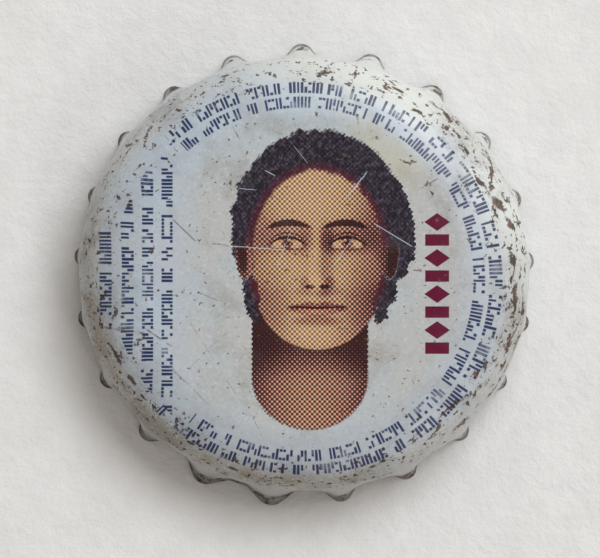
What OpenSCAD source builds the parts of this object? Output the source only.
// Crown cap for a small drinks bottle: a pressed tinplate shell with a fluted skirt, already
// crimped and levered off once, and the soft liner that is moulded into it.
// The cap stands on its teeth with the printed panel up. Z is the axis of the cap.

/* [Shell] */
// Height of the cap, from the tips of the teeth to the top of the panel
cap_h = 6.1; // [5.7:0.1:6.6]
// Outer diameter of the skirt the narrow way, between the teeth and just below the shoulder
skirt_d = 26.9; // [26.7:0.1:27.5]
// Outer diameter over the tips of the crimped teeth
tip_d = 28.9; // [28.5:0.1:29.5]
// Thickness of the tinplate
plate_t = 0.24; // [0.2:0.01:0.28]
// Outer radius of the shoulder between panel and skirt
shoulder_r = 2.4; // [1.6:0.1:2.6]

/* [Teeth] */
// Number of teeth round the skirt
tooth_count = 21; // [18:1:24]
// Outer radius of the fold at the tip of a tooth
fold_r = 0.65; // [0.4:0.05:0.7]
// Radius of the hollow on each side of a tooth
hollow_r = 0.5; // [0.4:0.05:0.65]
// Lean of a tooth's two flanks, in degrees
flank_lean = 40; // [15:1:42]
// Distance that a tooth's tip reaches below the edge between two teeth
tooth_drop = 0.25; // [0:0.05:0.4]
// How fast a tooth rises from the shoulder: 1 is straight, more is later
tooth_rise = 1.8; // [1:0.1:2.2]
// Part of the shoulder's bend that stays round before the teeth begin
round_share = 0.7; // [0.5:0.05:0.9]

/* [Crimp] */
// Distance that the crimp pressed the skirt in under the ring of the bottle's mouth
crimp_in = 0.45; // [0.2:0.05:0.6]
// Part of the skirt, from the shoulder down, that the crimp left straight
straight_share = 0.3; // [0.1:0.05:0.5]

/* [Opener mark] */
// Direction of the place where the opener levered the skirt, in degrees from X
lever_at = 254; // [0:1:359]
// Width of that place round the skirt, in degrees
lever_span = 64; // [30:2:90]
// Distance that the opener bent the valleys between the teeth outwards there
lever_out = 0.75; // [0:0.05:0.9]
// Distance that the opener lifted the teeth there
lever_lift = 0.35; // [0:0.05:0.5]

/* [Out of round] */
// Direction in which the bent cap is widest, in degrees from X
oval_at = 350; // [0:1:359]
// Distance that the shoulder bulges out on both sides in that direction
oval_out = 0.6; // [0:0.05:0.8]
// Angle by which the teeth crowd towards that direction, in degrees
oval_swing = 1.9; // [0:0.1:2.5]

/* [Liner] */
// Thickness of the thin skin that covers the inside of the panel
skin_t = 0.25; // [0.15:0.05:0.4]
// Thickness of the liner under the lip of the bottle
land_t = 0.45; // [0.3:0.05:0.6]
// Distance from the edge of the panel in to the flat land that the lip presses on
land_in_by = 0.15; // [0:0.05:0.6]
// Width of the flat land
land_w = 2.0; // [1.4:0.1:2.2]
// Height of the bead inside the land, from the panel
bead_h = 0.8; // [0.5:0.05:1]
// Width of the bead inside the land
bead_w = 1.1; // [0.8:0.1:1.6]
// Height of the outer ring that hugs the side of the lip, from the panel
ring_h = 1.15; // [0.9:0.05:1.3]
// Width of the outer ring's rounded foot
ring_w = 0.5; // [0.4:0.05:0.6]
// Gap between the liner's rim and the bend of the shell
liner_gap = 0.06; // [0.04:0.01:0.1]

/* [Hidden] */

skirt_r = skirt_d / 2;
tip_r = tip_d / 2;
panel_r = skirt_r - shoulder_r;       // edge of the flat panel
bend_z = cap_h - shoulder_r;          // height where the shoulder's bend ends
inside_z = cap_h - plate_t;           // inner face of the panel
tooth_h = tip_r - (skirt_r - crimp_in); // height of a tooth's fold at the raw edge
arc_len = shoulder_r * PI / 2;        // length of the bend, along the metal
metal_len = arc_len + bend_z;         // length of bend and skirt, along the metal
round_len = arc_len * round_share;    // length before the teeth begin
pitch = 360 / tooth_count;
fold_steps = 2;                       // segments in half a fold, and in a hollow
bend_steps = 5;                       // segments along the shoulder's bend
skirt_steps = 5;                      // segments down the skirt
nudge = 0.001;                        // step for a slope, along the metal
rim_steps = 8;                        // segments down the liner's rim
rim_start = 84;                       // direction where the rim leaves the panel, in degrees
tip_share = 0.3;                      // share of the opener's bend that reaches a tooth's tip
foot_steps = 6;                       // segments round the foot of the outer ring
foot_tilt = 15;                       // degrees cut from each end of that half round
bead_steps = 6;                       // segments across the inner bead
round_fn = 120;

// Half a tooth in cross-section, as [distance from its middle, height above the valley].
// Two arcs, the fold and the hollow, meet on a straight flank.
fold_mid = tooth_h - fold_r;
flank_len = (fold_mid - hollow_r + (fold_r + hollow_r) * sin(flank_lean)) / cos(flank_lean);
foot_x = (fold_r + hollow_r) * cos(flank_lean) + flank_len * sin(flank_lean);
turn = 90 - flank_lean;
half_tooth = concat(
    [for (k = [1:fold_steps]) let (a = 90 - turn * k / fold_steps)
        [fold_r * cos(a), fold_mid + fold_r * sin(a)]],
    [for (k = [0:fold_steps]) let (a = flank_lean + turn * k / fold_steps)
        [foot_x - hollow_r * cos(a), hollow_r - hollow_r * sin(a)]]);
half_steps = len(half_tooth);

// A whole tooth from its left foot to its right foot and on to the middle of the next valley,
// as [angle from the tooth's middle, share of the full height].
degree_per_mm = 180 / (PI * (tip_r - tooth_h / 2));
tooth = concat(
    [for (k = [half_steps - 1:-1:0]) [-half_tooth[k][0] * degree_per_mm, half_tooth[k][1] / tooth_h]],
    [[0, 1]],
    [for (k = [0:half_steps - 1]) [half_tooth[k][0] * degree_per_mm, half_tooth[k][1] / tooth_h]],
    [[pitch / 2, 0]]);
tooth_steps = len(tooth);
columns = tooth_count * tooth_steps;

// Column c of the skirt: [direction, share of the tooth's height]. The first tooth points along
// Y, and the others lie at an even pitch that narrows a little where the cap is widest.
function column(c) =
    let (i = (c + columns) % columns, t = tooth[i % tooth_steps],
        even = 90 + pitch * floor(i / tooth_steps) + t[0])
    [even - oval_swing * sin(2 * (even - oval_at)), t[1]];

// Smooth step from 0 to 1
function ease(x) = let (v = min(max(x, 0), 1)) v * v * (3 - 2 * v);

// How strongly the opener bent the skirt in a direction: 1 in the middle of its mark, 0 outside
function levered(direction) =
    let (off = abs((direction - lever_at + 540) % 360 - 180))
    off < lever_span / 2 ? (1 + cos(360 * off / lever_span)) / 2 : 0;

// Outer skin of the metal in column col at length m along it, counted from the panel's edge.
// The bend is an arc; below it the wall drops, leans in at the crimp, and the tooth rises on it.
// The bulge of the oval is full at the shoulder and gone at the raw edge, and sooner on a tooth.
function skin(col, m) =
    let (
        bend = min(m, arc_len) / shoulder_r * 180 / PI,
        s = max(0, m - arc_len) / bend_z,
        grown = pow(max(0, m - round_len) / (metal_len - round_len), tooth_rise),
        bulge = oval_out * (1 + cos(2 * (col[0] - oval_at))) / 2 * sin(bend)
            * (1 - grown) * (1 - grown * col[1]),
        lever = levered(col[0]) * s * s,
        r = panel_r + shoulder_r * sin(bend) - crimp_in * ease((s - straight_share) / (1 - straight_share))
            + bulge + tooth_h * grown * col[1] + lever_out * lever * (1 - (1 - tip_share) * col[1]),
        z = cap_h - shoulder_r * (1 - cos(bend)) - bend_z * s + tooth_drop * (1 - col[1]) * s
            + lever_lift * lever)
    [r * cos(col[0]), r * sin(col[0]), z];

// Direction that the outer skin faces, from its slopes along and across the metal
function facing(c, m) =
    let (
        along = skin(column(c), m + nudge) - skin(column(c), m - nudge),
        across = skin(column(c + 1), m) - skin(column(c - 1), m),
        n = cross(along, across))
    n / norm(n);

// Inner skin, one plate thickness behind the outer one. It starts at the level of the panel's
// inner face, and the raw edge is cut level, because the cap stands on it.
function inner_skin(c, m) =
    let (p = skin(column(c), m), n = facing(c, m))
    m == 0 ? [p[0], p[1], inside_z]
    : m == metal_len ? p - plate_t * [n[0], n[1], 0] / norm([n[0], n[1]])
    : p - plate_t * n;

// Lengths along the metal at which the sheet gets a ring of points
rings = concat(
    [for (k = [0:bend_steps]) arc_len * k / bend_steps],
    [for (k = [1:skirt_steps - 1]) arc_len + bend_z * k / skirt_steps],
    [metal_len]);
ring_count = len(rings);

// Index of a point: the outer rings come first, then the inner ones
function at(side, ring, c) = (side * ring_count + ring) * columns + (c % columns);

// Two triangles between four corners, split so that the two flanks of a tooth mirror each other
function patch(a, b, c, d, left) = left ? [[a, b, c], [a, c, d]] : [[a, b, d], [b, c, d]];

module crown_shell() {
    outer = [for (m = rings) for (c = [0:columns - 1]) skin(column(c), m)];
    inner = [for (m = rings) for (c = [0:columns - 1]) inner_skin(c, m)];
    panel = [
        [for (c = [columns - 1:-1:0]) at(0, 0, c)],
        [for (c = [0:columns - 1]) at(1, 0, c)]];
    wall = [for (k = [0:ring_count - 2]) for (c = [0:columns - 1])
        let (left = (c % tooth_steps) < half_steps)
        each concat(
            patch(at(0, k, c), at(0, k, c + 1), at(0, k + 1, c + 1), at(0, k + 1, c), left),
            patch(at(1, k, c), at(1, k + 1, c), at(1, k + 1, c + 1), at(1, k, c + 1), !left))];
    raw_edge = [for (c = [0:columns - 1])
        each patch(at(0, ring_count - 1, c), at(0, ring_count - 1, c + 1),
            at(1, ring_count - 1, c + 1), at(1, ring_count - 1, c), true)];
    color([0.79, 0.81, 0.80])
        polyhedron(points = concat(outer, inner), faces = concat(panel, wall, raw_edge), convexity = 6);
}

// Arc as points: centre, radius, from one angle to another
function arc(x, y, r, from, to, steps) =
    [for (k = [0:steps]) let (a = from + (to - from) * k / steps) [x + r * cos(a), y + r * sin(a)]];

module sealing_liner() {
    rim_r = shoulder_r - plate_t - liner_gap;
    land_out = panel_r - land_in_by;
    land_in = land_out - land_w;
    land_z = inside_z - land_t;
    skin_z = inside_z - skin_t;
    ring_z = inside_z - ring_h;
    bead_x = land_in - bead_w / 2;
    // the rim follows the bend of the shell down to the foot of the outer ring
    rim_end = asin((ring_z + ring_w / 2 - bend_z) / rim_r);
    foot_end = panel_r + rim_r * cos(rim_end);
    profile = concat(
        [[0, inside_z], [panel_r, inside_z]],
        arc(panel_r, bend_z, rim_r, rim_start, rim_end, rim_steps),
        arc(foot_end - ring_w / 2, ring_z + ring_w / 2, ring_w / 2,
            -foot_tilt, foot_tilt - 180, foot_steps),
        [[land_out, land_z], [land_in, land_z]],
        [for (k = [1:bead_steps - 1]) let (a = 180 * k / bead_steps)
            [bead_x + bead_w / 2 * cos(a), skin_z - (bead_h - skin_t) * sin(a)]],
        [[land_in - bead_w, skin_z], [0, skin_z]]);
    color([0.83, 0.81, 0.74])
        rotate_extrude($fn = round_fn) polygon(profile);
}

crown_shell();
sealing_liner();
